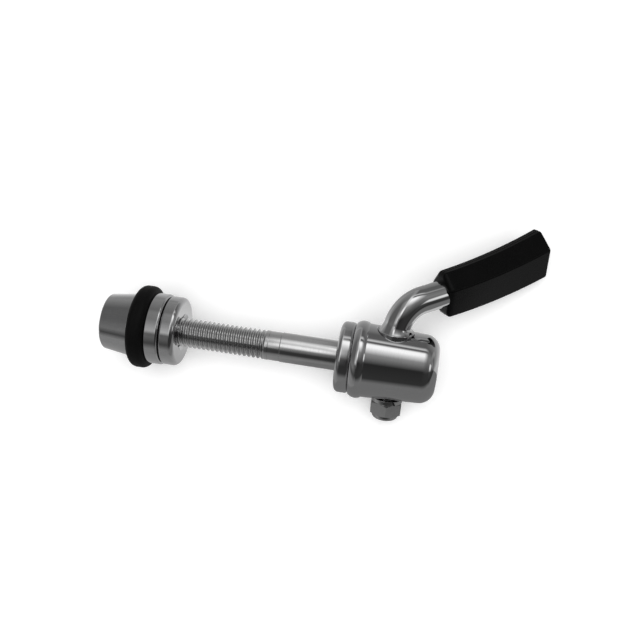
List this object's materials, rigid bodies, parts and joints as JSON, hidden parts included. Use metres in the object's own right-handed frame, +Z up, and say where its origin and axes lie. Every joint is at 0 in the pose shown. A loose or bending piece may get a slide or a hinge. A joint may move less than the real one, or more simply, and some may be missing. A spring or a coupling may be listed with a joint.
{
  "type": "cam lever",
  "caption": "Quick-release clamp bolt: bent lever with a curved grip turns an eccentric in a round housing and pulls a threaded stud; cone nut with rubber ring sets the width.",
  "frame": {"origin": "point on the stud's axis in the plane of the housing-side clamp face", "axes": "+X along the stud from the cone nut towards the cam housing, +Z up as the bolt lies on its rubber ring, shaft nut and grip, +Y towards the lever's side"},
  "size_m": [0.1159, 0.0572, 0.0224],
  "materials": {
    "chrome": "bright chrome plating over turned steel",
    "zinc_steel": "bright zinc plated steel with cut threads",
    "rubber": "matt black rubber",
    "grip_plastic": "satin black moulded plastic",
    "nylon": "natural nylon, as moulded"
  },
  "bodies": {
    "housing": {"cam_housing": "chrome", "cam_washer": "chrome"},
    "lever": {"cam_lever": "chrome", "lever_grip": "grip_plastic", "shaft_nut": "zinc_steel", "nut_insert": "nylon", "spring_washer": "zinc_steel"},
    "stud": {"stud": "zinc_steel"},
    "nut_washer": {"nut_washer": "chrome"},
    "adjusting_nut": {"adjusting_nut": "chrome", "finger_ring": "rubber"}
  },
  "joints": [
    {"name": "lever_turn", "type": "hinge", "parent": "housing", "child": "lever", "pos_m": [0.0142, 0, 0], "axis": [0, 0.8554, 0.518], "range_deg": [-123.6, 56.4]},
    {"name": "stud_pull", "type": "slide", "parent": "housing", "child": "stud", "axis": [1, 0, 0], "range_m": [-0.00151, 0.00069]},
    {"name": "nut_advance", "type": "slide", "parent": "stud", "child": "nut_washer", "axis": [1, 0, 0], "range_m": [-0.006, 0.024]},
    {"name": "nut_turn", "type": "hinge", "parent": "nut_washer", "child": "adjusting_nut", "pos_m": [-0.055, 0, 0], "axis": [1, 0, 0], "range_deg": [-1728, 6912]}
  ],
  "couplings": [
    {"joint": "lever_turn", "follows": "stud_pull", "rad_per_m": 1428.6},
    {"joint": "nut_turn", "follows": "nut_advance", "rad_per_m": 5026.5}
  ]
}
